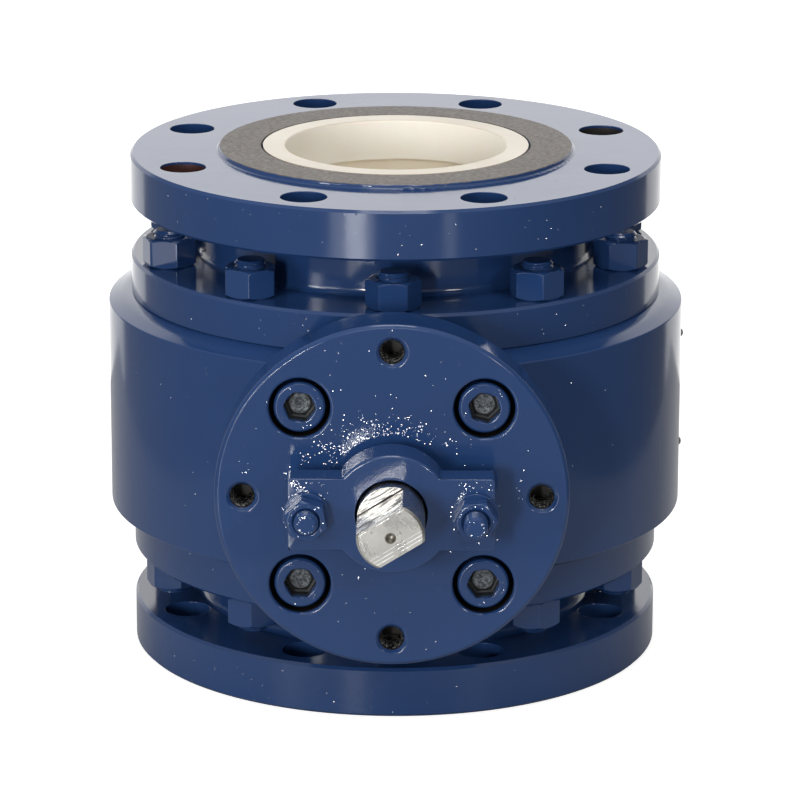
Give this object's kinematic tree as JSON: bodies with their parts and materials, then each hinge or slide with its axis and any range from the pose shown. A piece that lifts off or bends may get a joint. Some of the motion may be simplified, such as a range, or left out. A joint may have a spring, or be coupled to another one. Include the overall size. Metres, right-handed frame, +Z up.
{
  "type": "ceramic rotary valve",
  "caption": "Ceramic-lined quarter-turn ball valve: round body between flanged end caps, disc-shaped actuator flange on the side, flatted stem.",
  "frame": {"origin": "centre of the bottom sealing face, on the axis of the flow bore", "axes": "+Z up the flow bore, -Y along the stem toward its drive end, +X to the right when the stem is faced"},
  "size_m": [0.256, 0.343, 0.229],
  "materials": {
    "blue_paint": "gloss",
    "white_ceramic": "satin",
    "lining_ceramic": "satin",
    "graphite": "matte",
    "low_friction_plastic": "satin",
    "bare_steel": "machined"
  },
  "bodies": {
    "valve_body": {"body": "blue_paint", "top_end_cap": "blue_paint", "bottom_end_cap": "blue_paint", "body_liner": "lining_ceramic", "top_face_ring": "white_ceramic", "bottom_face_ring": "white_ceramic", "top_sleeve": "lining_ceramic", "bottom_sleeve": "lining_ceramic", "top_seat": "lining_ceramic", "bottom_seat": "lining_ceramic", "top_seat_ring": "graphite", "bottom_seat_ring": "graphite", "top_cap_gasket": "graphite", "bottom_cap_gasket": "graphite", "top_studs": "blue_paint", "bottom_studs": "blue_paint", "top_nuts": "blue_paint", "bottom_nuts": "blue_paint", "stem_bush": "lining_ceramic", "thrust_washer": "low_friction_plastic", "bonnet_gasket": "graphite", "mounting_flange": "blue_paint", "mounting_screws": "blue_paint", "packing_rings": "graphite", "packing_adapters": "bare_steel", "gland_bush": "bare_steel", "gland_flange": "blue_paint", "gland_studs": "blue_paint", "gland_washers": "blue_paint", "gland_nuts": "blue_paint"},
    "stem_shaft": {"stem": "bare_steel"},
    "ball_body": {"ball": "lining_ceramic"}
  },
  "joints": [
    {"name": "stem_turn", "type": "hinge", "parent": "valve_body", "child": "stem_shaft", "pos_m": [0, -0.2, 0.1145], "axis": [0, -1, 0], "range_deg": [-32, 58]},
    {"name": "ball_turn", "type": "hinge", "parent": "valve_body", "child": "ball_body", "pos_m": [0, 0, 0.1145], "axis": [0, -1, 0], "range_deg": [-32, 58]}
  ],
  "couplings": [
    {"joint": "ball_turn", "follows": "stem_turn", "ratio": 1}
  ]
}
